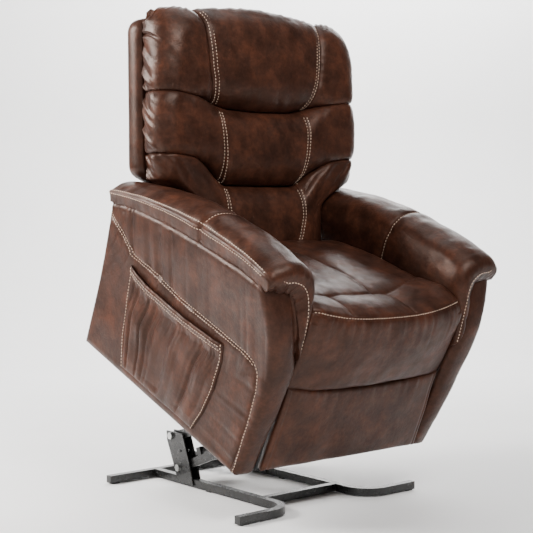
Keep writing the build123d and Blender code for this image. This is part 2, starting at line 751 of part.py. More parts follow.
upright = bar(
    base_side(UPRIGHT_X), HINGE_UP, (HINGE_UP[0], 1320), 30, 20, HINGE_PIN + RUN, 3.0
)
back_crank = (BACK_HINGE[0] + CRANK * sin(radians(20)), BACK_HINGE[1] - CRANK * cos(radians(20)))
crank_plates = [
    bar(seat_side(CRANK_X + x), BACK_HINGE, back_crank, 26, 5, 4.0, PIN_R) for x in (7, -12)
]
rails = [
    block(base_side(-UPRIGHT_X), (HINGE_UP[0] - 12, z), (HINGE_UP[0] + 12, z + 30), 2 * UPRIGHT_X)
    for z in (HINGE_UP[1] + 60, 980.0, 1270.0)
]
hinge_tube = rod(base_side(-UPRIGHT_X + 6), HINGE_UP, 12.0, 2 * UPRIGHT_X - 12)
stubs = [
    block(base_side(side * (UPRIGHT_X - 3) - 3), (HINGE_UP[0] - 12, HINGE_UP[1] + 16),
          (HINGE_UP[0] + 12, HINGE_UP[1] + 62), 6)
    for side in (1, -1)
]
back_frame = joined(
    both(upright),
    *rails,
    hinge_tube,
    *stubs,
    *crank_plates,
    rod(seat_side(CRANK_X - 12), back_crank, PIN_R, 24),
)
with BuildPart() as back_frame_bored:
    add(back_frame)
    for x in (UPRIGHT_X - 8, -UPRIGHT_X - 22):
        with BuildSketch(base_side(x)):
            with Locations(HINGE_UP):
                Circle(HINGE_PIN + RUN)
        extrude(amount=30, mode=Mode.SUBTRACT)
save(back_frame_bored.part, "back_frame")

SHELL_Y = 398.0
SHELL_WALL = 5.0
WING_Z = 906.0
SHELL_TOP = 1355.0
SHELL_X = 368.0
with BuildPart() as back_shell:
    with BuildSketch(base_front(SHELL_Y)):
        with Locations((0, (WING_Z + SHELL_TOP) / 2)):
            Rectangle(2 * SHELL_X, SHELL_TOP - WING_Z)
    extrude(amount=78)
    with BuildSketch(base_front(SHELL_Y - SHELL_WALL)):
        with Locations((0, (WING_Z + SHELL_TOP) / 2)):
            Rectangle(2 * (SHELL_X - SHELL_WALL), SHELL_TOP - WING_Z - 2 * SHELL_WALL)
    extrude(amount=78, mode=Mode.SUBTRACT)
    with BuildSketch(base_front(SHELL_Y - SHELL_WALL)):
        with Locations((0, WING_Z)):
            Rectangle(2 * (UPRIGHT_X + 30), 4 * SHELL_WALL)
    extrude(amount=78, mode=Mode.SUBTRACT)
    with BuildSketch(base_front(SHELL_Y)):
        with Locations((0, (WING_Z + 645) / 2)):
            Rectangle(512, WING_Z - 645)
    extrude(amount=SHELL_WALL)
save(back_shell.part, "back_shell")

core_outline = [
    (-258, 760), (258, 760), (258, 912), (350, 912), (358, 1100), (350, 1300), (300, 1346),
    (-300, 1346), (-350, 1300), (-358, 1100), (-350, 912), (-258, 912),
]
save(plate(base_front(319.5), core_outline, 51.5), "back_core")

head_outline = [
    (-186, 1118), (186, 1118), (212, 1270), (232, 1370),
    (190, 1400), (-190, 1400), (-232, 1370), (-212, 1270),
]
save(cushion(base_front(266), head_outline, 62, 16), "head_pillow")

middle_outline = [(-134, 900), (134, 900), (156, 1100), (-156, 1100)]
save(cushion(base_front(266), middle_outline, 56, 14), "middle_bolster")

lower_outline = [(-126, 765), (126, 765), (138, 888), (-138, 888)]
save(cushion(base_front(266), lower_outline, 52, 14), "lower_bolster")

wing_outline = [
    (144, 912), (352, 912), (374, 980), (378, 1200), (360, 1300), (320, 1362), (248, 1378),
    (226, 1270), (200, 1124), (168, 1104),
]
side_wing = cushion(base_front(266), wing_outline, 50, 12)
save(side_wing, "side_wing_left")
save(opposite(side_wing), "side_wing_right")
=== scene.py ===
import math

import bmesh
import bpy
import numpy as np
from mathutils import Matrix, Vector


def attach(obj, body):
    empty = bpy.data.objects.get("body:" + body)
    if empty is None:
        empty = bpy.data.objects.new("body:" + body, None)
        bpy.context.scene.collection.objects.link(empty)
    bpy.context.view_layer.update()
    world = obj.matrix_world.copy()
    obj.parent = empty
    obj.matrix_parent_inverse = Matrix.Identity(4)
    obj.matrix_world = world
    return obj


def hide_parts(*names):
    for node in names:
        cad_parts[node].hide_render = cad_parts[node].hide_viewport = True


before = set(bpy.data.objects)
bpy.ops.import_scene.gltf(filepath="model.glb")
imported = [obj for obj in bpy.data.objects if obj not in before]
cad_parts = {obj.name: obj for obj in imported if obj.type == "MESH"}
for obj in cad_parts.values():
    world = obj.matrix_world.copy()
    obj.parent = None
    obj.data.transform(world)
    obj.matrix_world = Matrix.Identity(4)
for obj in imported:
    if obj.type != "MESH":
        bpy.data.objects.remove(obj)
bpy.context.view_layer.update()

# The part's frame: x to the sitter's left, the chair faces -y, z up, metres.
# Upholstery is laid out in millimetres, either in the seat's tilted axes
# (u to the rear, v up) or in the upright axes of the back (y to the rear, z up).
TILT = math.radians(24.1)
SEAT_Y = -79.3
SEAT_Z = 139.4
DATUM_Y = -127.45
COS, SIN = math.cos(TILT), math.sin(TILT)


def seat(x, u, v):
    x, u, v = np.broadcast_arrays(x, u, v)
    return np.stack([x, u * COS - v * SIN + SEAT_Y + DATUM_Y, u * SIN + v * COS + SEAT_Z], -1) / 1000


def upright(x, y, z):
    x, y, z = np.broadcast_arrays(x, y, z)
    return np.stack([x, y + DATUM_Y, z], -1) / 1000


# ---------------------------------------------------------------- materials
def material(name):
    mat = bpy.data.materials.new(name)
    mat.use_nodes = True
    tree = mat.node_tree
    return mat, tree.nodes, tree.links, tree.nodes["Principled BSDF"]


def noise(nodes, links, coord, scale, detail=3.0, rough=0.55):
    node = nodes.new("ShaderNodeTexNoise")
    node.inputs["Scale"].default_value = scale
    node.inputs["Detail"].default_value = detail
    node.inputs["Roughness"].default_value = rough
    links.new(coord, node.inputs["Vector"])
    return node.outputs["Fac"]


def ramp(nodes, links, source, stops):
    node = nodes.new("ShaderNodeValToRGB")
    links.new(source, node.inputs["Fac"])
    while len(node.color_ramp.elements) < len(stops):
        node.color_ramp.elements.new(0.5)
    for element, (at, colour) in zip(node.color_ramp.elements, stops):
        element.position = at
        element.color = (*colour, 1)
    return node.outputs["Color"]


def add_bump(nodes, links, height, strength, distance, shader, after=None):
    node = nodes.new("ShaderNodeBump")
    node.inputs["Strength"].default_value = strength
    node.inputs["Distance"].default_value = distance
    links.new(height, node.inputs["Height"])
    if after:
        links.new(after, node.inputs["Normal"])
    links.new(node.outputs["Normal"], shader.inputs["Normal"])
    return node.outputs["Normal"]


def grey(level):
    return (level, level, level)


def leather_finish(name, dark, mid, red, rough):
    mat, nodes, links, shader = material(name)
    coord = nodes.new("ShaderNodeTexCoord").outputs["Object"]
    patches = noise(nodes, links, coord, 17.0, 5.0, 0.65)
    flecks = noise(nodes, links, coord, 95.0, 3.0, 0.6)
    mix = nodes.new("ShaderNodeMath")
    mix.operation = "MULTIPLY_ADD"
    mix.inputs[1].default_value = 0.35
    links.new(flecks, mix.inputs[0])
    links.new(patches, mix.inputs[2])
    colour = ramp(nodes, links, mix.outputs[0], [(0.5, dark), (0.68, mid), (0.9, red)])
    links.new(colour, shader.inputs["Base Color"])
    sheen = ramp(nodes, links, noise(nodes, links, coord, 26.0, 4.0),
                 [(0.3, grey(rough - 0.07)), (0.7, grey(rough + 0.09))])
    links.new(sheen, shader.inputs["Roughness"])
    shader.inputs["Specular IOR Level"].default_value = 0.26
    shader.inputs["Specular Tint"].default_value = (1.0, 0.78, 0.68, 1)
    cells = nodes.new("ShaderNodeTexVoronoi")
    cells.inputs["Scale"].default_value = 430.0
    links.new(coord, cells.inputs["Vector"])
    first = add_bump(nodes, links, cells.outputs["Distance"], 0.22, 0.0008, shader)
    second = add_bump(nodes, links, noise(nodes, links, coord, 150.0, 5.0), 0.3, 0.0012, shader, first)
    add_bump(nodes, links, noise(nodes, links, coord, 34.0, 3.0), 0.28, 0.004, shader, second)
    return mat


def plain_finish(name, dark, light, scale, rough, metal=0.0, bump=0.1, depth=0.0004, stretch=None):
    mat, nodes, links, shader = material(name)
    coord = nodes.new("ShaderNodeTexCoord").outputs["Object"]
    if stretch:
        mapping = nodes.new("ShaderNodeMapping")
        mapping.inputs["Scale"].default_value = stretch
        links.new(coord, mapping.inputs["Vector"])
        coord = mapping.outputs["Vector"]
    wear = noise(nodes, links, coord, scale, 5.0, 0.6)
    links.new(ramp(nodes, links, wear, [(0.3, dark), (0.7, light)]), shader.inputs["Base Color"])
    level = ramp(nodes, links, noise(nodes, links, coord, scale * 2.3, 4.0),
                 [(0.3, grey(max(rough - 0.06, 0.04))), (0.7, grey(rough + 0.08))])
    links.new(level, shader.inputs["Roughness"])
    shader.inputs["Metallic"].default_value = metal
    add_bump(nodes, links, noise(nodes, links, coord, scale * 9.0, 3.0), bump, depth, shader)
    return mat


leather = leather_finish("brown_leather", (0.0200, 0.0072, 0.0042), (0.0370, 0.0136, 0.0080),
    (0.0720, 0.0245, 0.0132), 0.37)
thread = plain_finish("tan_thread", (0.46, 0.31, 0.22), (0.68, 0.52, 0.41), 400.0, 0.7, 0.0, 0.5, 0.0003)
finishes = {
    "black_steel": plain_finish("black_powder_coat", grey(0.008), grey(0.016), 30.0, 0.28, 0.0, 0.08,
    0.0005),
    "zinc_steel": plain_finish("zinc_plated_steel", (0.42, 0.43, 0.43), (0.62, 0.62, 0.6), 90.0, 0.33,
    1.0, 0.06),
    "rod_steel": plain_finish("polished_rod", (0.60, 0.60, 0.60), (0.75, 0.75, 0.74), 60.0, 0.16, 1.0,
    0.04),
    "black_plastic": plain_finish("black_plastic", grey(0.012), grey(0.022), 40.0, 0.42, 0.0, 0.12),
    "grey_plastic": plain_finish("grey_plastic", grey(0.14), grey(0.2), 40.0, 0.45, 0.0, 0.12),
    "leather": leather,
    "plywood": plain_finish("plywood", (0.38, 0.23, 0.12), (0.62, 0.43, 0.25), 12.0, 0.62, 0.0, 0.25,
    0.0006, (1, 9, 9)),
    "webbing": plain_finish("webbing", (0.10, 0.085, 0.07), (0.2, 0.18, 0.15), 180.0, 0.8, 0.0, 0.6,
    0.0006),
    "backing": plain_finish("black_backing_cloth", grey(0.01), grey(0.022), 260.0, 0.9, 0.0, 0.6, 0.0005),
}
foam = plain_finish("foam", (0.55, 0.50, 0.36), (0.68, 0.63, 0.48), 120.0, 0.9, 0.0, 0.7, 0.001)

NODE_FINISH = {
    "zinc_steel": ["pivot_bolts", "pivot_nuts", "pivot_spacers", "footrest_hinge_plates", "recline_hinges"],
    "rod_steel": ["lift_actuator_rod", "footrest_actuator_rod", "recline_actuator_rod"],
    "black_plastic": ["foot_caps", "floor_glides", "lift_motor", "footrest_motor", "recline_motor",
    "control_box"],
    "grey_plastic": [],
    "plywood": ["arm_frames", "seat_frame", "back_frame", "footrest_board"],
    "webbing": ["seat_webbing"],
    "backing": ["rear_panel"],
}
chosen = {node: finish for finish, nodes in NODE_FINISH.items() for node in nodes}
for name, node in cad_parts.items():
    node.data.materials.clear()
    node.data.materials.append(finishes[chosen.get(name, "black_steel")])


# ---------------------------------------------------------------- shape helpers
def ripple(t, wavelength, seed):
    """A smooth random wave between -1 and 1 along t."""
    knots = np.random.default_rng(seed).uniform(-1, 1, 1024)
    q = (np.asarray(t, float) / wavelength + 311.0) % 1022
    i = np.floor(q).astype(int)
    f = q - i
    f = f * f * (3 - 2 * f)
    return knots[i] * (1 - f) + knots[i + 1] * f


def pleats(t, spacing, seed):
    """Round folds parted by sharp valleys: 1 in a valley, 0 on a fold."""
    return (1 - np.abs(ripple(t, spacing, seed))) ** 1.6


def cloud(a, b, scale, seed):
    """Smooth random hills between -1 and 1 over a plane."""
    knots = np.random.default_rng(seed).uniform(-1, 1, (128, 128))
    qa = (np.asarray(a, float) / scale + 40.0) % 126
    qb = (np.asarray(b, float) / scale + 40.0) % 126
    i, j = np.floor(qa).astype(int), np.floor(qb).astype(int)
    f, g = qa - i, qb - j
    f, g = f * f * (3 - 2 * f), g * g * (3 - 2 * g)
    low = knots[i, j] * (1 - f) + knots[i + 1, j] * f
    high = knots[i, j + 1] * (1 - f) + knots[i + 1, j + 1] * f
    return low * (1 - g) + high * g


def shoulder(d, width):
    """1 at a seam, falling to 0 at width away along a round shoulder."""
    r = np.clip(1 - np.asarray(d, float) / width, 0, 1)
    return 1 - np.sqrt(1 - r * r)


def curve(at, points):
    """A value read off a list of (position, value) pairs, with rounded knees."""
    keys = np.array(points, float)
    at = np.asarray(at, float)
    step = (keys[-1, 0] - keys[0, 0]) / 40
    total = 0
    for shift in (-1.0, -0.5, 0.0, 0.5, 1.0):
        total = total + np.interp(at + shift * step, keys[:, 0], keys[:, 1])
    return total / 5


def through(points, count):
    """A smooth curve through the points, evenly spaced. points may carry leading axes."""
    p = np.asarray(points, float)
    first = 2 * p[..., :1, :] - p[..., 1:2, :]
    last = 2 * p[..., -1:, :] - p[..., -2:-1, :]
    p = np.concatenate([first, p, last], -2)
    n = p.shape[-2] - 3
    t = np.linspace(0, n - 1e-6, count)
    k = np.floor(t).astype(int)
    f = (t - k)[:, None]
    a, b, c, d = (p[..., k + s, :] for s in range(4))
    return (0.5 * (2 * b + (c - a) * f + (2 * a - 5 * b + 4 * c - d) * f * f
        + (3 * b - a - 3 * c + d) * f ** 3))


def near_line(a, b, line):
    """Distance from each point to a polyline, and how far along it the nearest point is."""
    line = np.asarray(line, float)
    best = np.full(np.shape(a), 1e9)
    along = np.zeros(np.shape(a))
    start = 0.0
    for p, q in zip(line[:-1], line[1:]):
        step = q - p
        length = np.hypot(*step)
        t = np.clip(((a - p[0]) * step[0] + (b - p[1]) * step[1]) / length ** 2, 0, 1)
        d = np.hypot(a - p[0] - t * step[0], b - p[1] - t * step[1])
        along = np.where(d < best, start + t * length, along)
        best = np.minimum(best, d)
        start += length
    return best, along


def crowd(count, strength=0.6):
    """Steps from 0 to 1 that crowd together at both ends."""
    t = np.linspace(0, 1, count)
    return (1 - strength) * t + strength * (0.5 - 0.5 * np.cos(math.pi * t))


def add(name, verts, faces, mat, smooth=True):
    mesh = bpy.data.meshes.new(name)
    mesh.from_pydata(np.asarray(verts).tolist(), [], np.asarray(faces).tolist())
    mesh.update()
    obj = bpy.data.objects.new(name, mesh)
    bpy.context.scene.collection.objects.link(obj)
    mesh.materials.append(mat)
    work = bmesh.new()
    work.from_mesh(mesh)
    bmesh.ops.remove_doubles(work, verts=work.verts, dist=0.00002)
    bmesh.ops.recalc_face_normals(work, faces=work.faces)
    work.to_mesh(mesh)
    work.free()
    mesh.polygons.foreach_set("use_smooth", [smooth] * len(mesh.polygons))
    return obj


def shell(name, front, back, body, mat=None, stands_for=()):
    """A closed piece between two grids of points that run the same way."""
    n, m = front.shape[:2]
    i = np.arange(n * m).reshape(n, m)
    face = np.stack([i[:-1, :-1], i[1:, :-1], i[1:, 1:], i[:-1, 1:]], -1).reshape(-1, 4)
    rim = np.concatenate([i[0, :-1], i[:-1, -1], i[-1, :0:-1], i[:0:-1, 0]])
    after = np.roll(rim, -1)
    side = np.stack([rim, after, after + n * m, rim + n * m], -1)
    faces = np.concatenate([face, face[:, ::-1] + n * m, side])
    verts = np.concatenate([front.reshape(-1, 3), back.reshape(-1, 3)])
    obj = add(name, verts, faces, mat or leather)
    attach(obj, body)
    if stands_for:
        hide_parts(*stands_for)
    return obj


stitches = {}


def stitch(body, path, outward, pitch=9.4, length=6.0, radius=1.2):
    """Rows of thread along a path in metres; outward points off the leather. Sizes in mm."""
    path = np.asarray(path, float)
    outward = np.broadcast_to(np.asarray(outward, float), path.shape)
    steps = np.linalg.norm(np.diff(path, axis=0), axis=1)
    far = np.concatenate([[0], np.cumsum(steps)])
    at = np.arange(0.5 * pitch / 1000, far[-1], pitch / 1000)
    if len(at) == 0:
        return

    def read(values, where):
        return np.stack([np.interp(where, far, values[:, k]) for k in range(3)], -1)

    middle = read(path, at)
    ahead = read(path, np.minimum(at + 0.002, far[-1])) - read(path, np.maximum(at - 0.002, 0))
    ahead /= np.maximum(np.linalg.norm(ahead, axis=1, keepdims=True), 1e-9)
    up = read(outward, at)
    up -= ahead * np.sum(up * ahead, 1, keepdims=True)
    up /= np.maximum(np.linalg.norm(up, axis=1, keepdims=True), 1e-9)
    across = np.cross(ahead, up)
    ring = np.arange(6) * math.pi / 3
    stations = [(-0.5, 0.25, -0.5), (-0.34, 0.95, 0.05), (0.0, 1.0, 0.35), (0.34, 0.95, 0.05),
        (0.5, 0.25, -0.5)]
    rows = []
    for along, thick, lift in stations:
        for angle in ring:
            rows.append((along * length, thick * radius * math.cos(angle),
                         radius * (thick * math.sin(angle) + lift)))
    shape = np.array(rows) / 1000
    verts = (middle[:, None] + shape[None, :, 0:1] * ahead[:, None]
             + shape[None, :, 1:2] * across[:, None] + shape[None, :, 2:3] * up[:, None])
    stitches.setdefault(body, []).append(verts)


def make_stitches():
    one = []
    for s in range(4):
        for k in range(6):
            one.append((s * 6 + k, s * 6 + (k + 1) % 6, s * 6 + 6 + (k + 1) % 6, s * 6 + 6 + k))
    caps = [tuple(range(5, -1, -1)), tuple(range(24, 30))]
    for body, groups in stitches.items():
        verts = np.concatenate(groups)
        faces = []
        for n in range(len(verts)):
            faces += [tuple(i + n * 30 for i in f) for f in one + caps]
        mesh = bpy.data.meshes.new("stitching_" + body)
        mesh.from_pydata(verts.reshape(-1, 3).tolist(), [], faces)
        mesh.update()
        obj = bpy.data.objects.new("stitching_" + body, mesh)
        bpy.context.scene.collection.objects.link(obj)
        mesh.materials.append(thread)
        mesh.polygons.foreach_set("use_smooth", [True] * len(mesh.polygons))
        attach(obj, body)


# ---------------------------------------------------------------- back cushions
# The nine cushions share one face: flat in front, rolled over the top and
# sides onto the seam that joins them to the shell behind.
FACE_Y = 206.0
SHELL_SEAM_Y = 322.0
ROLL = 60.0
CORNER = 100.0
ROUND = CORNER - ROLL
WRAPPED = ROLL * math.pi / 2 + (SHELL_SEAM_Y - FACE_Y - ROLL)


def half_width(z):
    return curve(z, [(600, 262), (850, 264), (872, 300), (888, 345), (905, 366), (945, 375), (996, 380),
                     (1104, 380), (1202, 369), (1300, 356), (1400, 346), (1500, 346)])


def top_height(x):
    return 1402 - 15 * (np.abs(x) / 260.0) ** 2


def on_back(x, z, sink):
    """Flattened cushion-face coordinates to a point on the rolled face, sunk inward."""
    side = np.where(x < 0, -1.0, 1.0)
    wide = np.abs(x)
    a = half_width(np.minimum(z, 1400)) - ROLL - ROUND
    top = top_height(np.minimum(wide, a)) - ROLL - ROUND
    big = ROUND + WRAPPED
    qx = np.clip((wide - a) / big, 0, 1)
    qz = np.clip((z - top) / big, 0, 1)
    dx = qx * big * np.sqrt(1 - qz * qz / 2)
    dz = qz * big * np.sqrt(1 - qx * qx / 2)
    far = np.hypot(dx, dz)
    nx, nz = dx / np.maximum(far, 1e-6), dz / np.maximum(far, 1e-6)
    over = far - ROUND
    turn = np.clip(over / ROLL, 0, math.pi / 2)
    extra = np.clip(over - ROLL * math.pi / 2, 0, None)
    radial = np.where(over > 0, ROUND + ROLL * np.sin(turn) - 0.0035 * extra ** 2, far)
    rear = np.clip(over / WRAPPED, 0, 1)
    radial = radial * (1 + 0.88 * (nx * nz) ** 2 * rear)
    radial = radial - np.sin(turn) * sink
    px = np.minimum(wide, a) + nx * radial
    px = px + nx * (371 - half_width(np.minimum(z, 1400))) * rear ** 1.5 * (z > 905)
    pz = np.minimum(z, top) + nz * radial
    py = ROLL * (1 - np.cos(turn)) + extra
    lean = 26 * np.clip((pz - 1245) / 140, 0, 1) ** 2 * (1 - py / (SHELL_SEAM_Y - FACE_Y))
    py = FACE_Y + py + lean + np.cos(turn) * sink
    return upright(side * px, py, pz)


def head_seam(z):
    return curve(z,
        [(1080, 170), (1110, 176), (1160, 194), (1220, 207), (1290, 213), (1350, 218), (1395, 230),
        (1520, 246)])


def middle_seam(z):
    return curve(z,
        [(860, 136), (892, 141), (930, 151), (1000, 157), (1060, 162), (1110, 161), (1160, 160)])


def lower_seam(z):
    return curve(z, [(650, 100), (705, 112), (750, 131), (800, 142), (850, 143), (895, 141), (960, 139)])


def crease_one(x):
    return curve(np.abs(x), [(0, 1108), (120, 1112), (220, 1136), (320, 1150), (460, 1152)])


def crease_two(x):
    return curve(np.abs(x), [(0, 892), (130, 893), (215, 950), (257, 970), (320, 978), (460, 980)])


def back_grid(left, right, bottom, top, across, up):
    """Flattened coordinates over a cushion with four curved edges."""
    e, f = np.meshgrid(crowd(across), crowd(up), indexing="ij")
    mid = 0.5 * (np.mean(bottom(np.array([0.0, 100.0]))) + np.mean(top(np.array([0.0, 100.0]))))
    x = left(mid) + (right(mid) - left(mid)) * e
    for _ in range(3):
        z = bottom(x) + (top(x) - bottom(x)) * f
        x = left(z) + (right(z) - left(z)) * e
    return e, f, x, z


def ease(t):
    t = np.clip(t, 0, 1)
    return t * t * (3 - 2 * t)


def face_sink(x, z):
    """Depth of the two creases that part the rows: deep in the middle, thin on the wings."""
    wide = np.abs(x)
    centre = 1 - ease((wide - 150) / 120)
    deep = 10 + 50 * centre
    width = 34 + 62 * centre
    sink = np.maximum(deep * shoulder(np.abs(z - crease_one(x)), width),
                      deep * shoulder(np.abs(z - crease_two(x)), width))
    sink = sink + 3.0 * shoulder(np.minimum(np.abs(z - crease_one(x)), np.abs(z - crease_two(x))), 7)
    return sink + 17 * ease((wide - 140) / 90) * ease((crease_two(x) - z) / 110)


def back_cushion(name, seed, left, right, bottom, top, size, groove, crown, outer, stands_for=()):
    """groove: (depth, width) of the seams beside the centre column; outer names edges on the shell seam."""
    e, f, x, z = back_grid(left, right, bottom, top, *size)
    gaps = {"L": x - left(z), "R": right(z) - x, "B": z - bottom(x), "T": top(x) - z}
    sink = face_sink(x, z)
    for edge, gap in gaps.items():
        run = z if edge in "LR" else x
        if edge in outer:
            sink += 8 * shoulder(gap, 12)
            pull = np.exp(-(gap / 62.0) ** 2) * np.clip(gap / 8, 0, 1)
            sink += 7.0 * ripple(run + 0.8 * gap, 13.0, seed + 11) * pull
            sink += (2.0 * ripple(run + 0.5 * gap, 6.0, seed + 12) * np.exp(-gap / 15.0)
                * np.clip(gap / 5, 0, 1))
        elif edge in "LR":
            sink += groove[0] * shoulder(gap, groove[1])
            sink += 0.8 * ripple(run, 11.0, seed + 14) * np.exp(-gap / 16.0) * np.clip(gap / 4, 0, 1)
        else:
            sink += (2.6 * ripple(run + 0.4 * gap, 21.0, seed + 13) * np.exp(-gap / 30.0)
                * np.clip(gap / 9, 0, 1))
    sink -= crown * (1 - (2 * e - 1) ** 4) * (1 - (2 * f - 1) ** 4)
    inside = np.clip(np.minimum.reduce(list(gaps.values())) / 30.0, 0, 1)
    sink += inside * (2.0 * cloud(x, z, 75, seed) + 0.8 * cloud(x + 0.5 * z, z, 26, seed + 5))
    if name.startswith("lower_wing"):
        drop = gaps["T"]
        fold = pleats(0.75 * np.abs(x) - 0.65 * z, 23.0, seed + 7)
        sink += 9.0 * fold * np.exp(-drop / 60.0) * np.clip(drop / 12, 0, 1) * np.clip(inside * 1.5, 0, 1)
    front = on_back(x, z, sink)
    centre = 1 - ease((np.abs(x) - 150) / 120)
    return shell(name, front, on_back(x, z, 50 + 18 * centre), "back", stands_for=stands_for)


def back_line(x, z, sink, lift=0.0):
    """Points and outward directions for stitches on the back's face."""
    path = on_back(x, z, sink - lift)
    out = on_back(x, z, sink - 6) - on_back(x, z, sink)
    return path, out / np.linalg.norm(out, axis=1, keepdims=True)


def mirror(fn):
    return lambda z: -fn(z)


def edge_x(z):
    return half_width(np.minimum(z, 1400)) - ROLL + WRAPPED


def edge_top(x):
    return top_height(np.minimum(np.abs(x), 250)) - ROLL + WRAPPED


def foot_line(x):
    return np.full_like(np.asarray(x, float), 700.0)


back_cushion("head_pillow_cover", 3, mirror(head_seam), head_seam, crease_one, edge_top, (104, 120),
    (11, 30), 7, "T",
             stands_for=["head_pillow"])
back_cushion("middle_bolster_cover", 4, mirror(middle_seam), middle_seam, crease_two, crease_one,
    (84, 90), (4, 11), 3,
             "", stands_for=["middle_bolster"])
back_cushion("lower_bolster_cover", 5, mirror(lower_seam), lower_seam, foot_line, crease_two, (76, 84),
    (4, 11), 3, "",
             stands_for=["lower_bolster"])
for tag, turn in (("right", -1), ("left", 1)):
    rows = [("head_wing_", 30, head_seam, crease_one, edge_top, (110, 120), (11, 30), 4, "T"),
            ("middle_wing_", 40, middle_seam, crease_two, crease_one, (110, 90), (4, 11), 4, ""),
            ("lower_wing_", 50, lower_seam, foot_line, crease_two, (110, 110), (4, 11), 2, "")]
    for prefix, seed, seam, bottom, top, size, groove, crown, tops in rows:
        left, right = (mirror(edge_x), mirror(seam)) if turn < 0 else (seam, edge_x)
        stands = ["side_wing_" + tag] if prefix == "middle_wing_" else []
        back_cushion(prefix + tag, seed + turn, left, right, bottom, top, size, groove, crown,
                     tops + ("L" if turn < 0 else "R"), stands_for=stands)

# Two rows of thread along each seam of the centre column.
for turn in (-1, 1):
    for seam, low, high, rows, groove in ((middle_seam, 900, 1103, (-5.5, 5.5), (4, 11)),
                                          (lower_seam, 716, 886, (-5.5, 5.5), (4, 11)),
                                          (head_seam, 1124, 1390, (9, 20), (11, 30))):
        for row in rows:
            z = np.linspace(low, high, 160)
            x = turn * (seam(z) - row)
            path, out = back_line(x, z, face_sink(x, z) + groove[0] * shoulder(abs(row), groove[1]), 1.1)
            stitch("back", path, out)

# Shell behind the cushions: a smooth covered box, narrower below the arms.
SHELL_TOP = 1362.0


def shell_half(z):
    wide = curve(z, [(640, 257), (885, 257), (906, 340), (925, 366), (1300, 368), (1400, 368)])
    over = np.clip(z - (SHELL_TOP - 42), 0, 41.9)
    return wide - 42 + np.sqrt(42 ** 2 - over ** 2)


f = np.concatenate([crowd(90, 0.5) * 0.86, 0.86 + 0.14 * np.sin(np.linspace(0, math.pi / 2, 26))[1:]])
e, f = np.meshgrid(crowd(90), f, indexing="ij")
z = 648 + (SHELL_TOP - 648) * f
x = (2 * e - 1) * shell_half(z)
edge = np.minimum(shell_half(z) - np.abs(x), np.minimum(SHELL_TOP - z, z - 648))
rear_y = (399 - 20 * shoulder(edge, 22) - 3 * (1 - (2 * e - 1) ** 4) * (1 - (2 * f - 1) ** 4)
    + 0.8 * cloud(x, z, 60, 8))
shell(
    "back_shell_cover", upright(x * 0.99, np.full_like(x, SHELL_SEAM_Y - 1.0), z), upright(x, rear_y, z),
    "back", stands_for=["back_shell"])
e, f = np.meshgrid(crowd(30), crowd(40), indexing="ij")
z = 720 + 590 * f
x = (2 * e - 1) * (shell_half(z) - 66)
shell("back_foam", upright(x, 279 - 2 * np.sin(math.pi * f), z), upright(x, 319 + 0 * f, z), "back",
      mat=foam, stands_for=["back_core"])


# ---------------------------------------------------------------- arms
def arm_front_u(v):
    return curve(v,
        [(-20, 3), (0, 0), (100, -15), (200, -27), (330, -35), (400, -29), (460, -8), (530, 28), (620, 80)])


def hem_v(u):
    return curve(u, [(-40, 520), (37, 527), (123, 531), (207, 525), (388, 511), (581, 486), (740, 447)])


def pad_top(u):
    return curve(u,
        [(-40, 590), (35, 600), (111, 608), (210, 609), (306, 606), (438, 588), (551, 565), (667, 533),
                     (745, 505)])


def panel_x(u, v):
    """Half-width of the outer side of an arm."""
    front = curve(v,
        [(-10, 363), (0, 363), (120, 367), (257, 374), (330, 383), (400, 394), (440, 403), (500, 419),
        (530, 424)])
    rear = curve(v, [(-10, 396), (0, 396), (200, 402), (350, 413), (420, 422), (446, 424), (530, 424)])
    t = np.clip(u / 726.0, 0, 1)
    return front * (1 - t) + rear * t


SEAM = [(715, 422), (653, 395), (600, 366), (575, 352), (484, 348), (400, 339), (344, 334), (238, 332),
    (132, 330),
        (62, 327), (30, 317), (10, 294), (4, 262), (4, 152), (10, 38), (14, 4)]


def panel_sink(u, v, seed):
    edge = np.minimum(np.minimum(u - arm_front_u(v), 728 - u - v * 0.02), v + 2)
    d, along = near_line(u, v, SEAM)
    sink = 16 * shoulder(edge, 22) + 5.5 * shoulder(d, 20) + 2.0 * shoulder(d, 5)
    sink += 11 * shoulder(hem_v(u) + 3 - v, 18)
    above = v > np.interp(u, [p[0] for p in SEAM[::-1][4:]], [p[1] for p in SEAM[::-1][4:]])
    pleat = 0.15 + np.exp(-((u - 505) / 110.0) ** 2)
    fall = u - 0.2 * (v - 350)
    sink += np.where(above, 13.0 * pleat * pleats(fall, 24.0, seed), 1.4 * ripple(along, 12.0, seed + 1)
                     ) * np.exp(-d / 120.0) * np.clip(d / 9, 0, 1) * np.clip((hem_v(u) - v) / 30, 0, 1)
    sink += np.where(above, 0, 2.6 * ripple(u + 0.3 * v, 30.0, seed + 6) * np.exp(-d / 90.0))
    sink += 2.2 * cloud(u, v, 90, seed + 2) * np.clip(edge / 40, 0, 1)
    under = hem_v(u) - v
    sink += ((1.0 + 2.2 * ease((u - 560) / 80)) * ripple(u, 14.0, seed + 3)
        * np.exp(-np.clip(under, 0, None) / 32.0))
    return sink


# Cross seam of the arm pad, from the front of the arm.
PAD_SEAM_U = 311


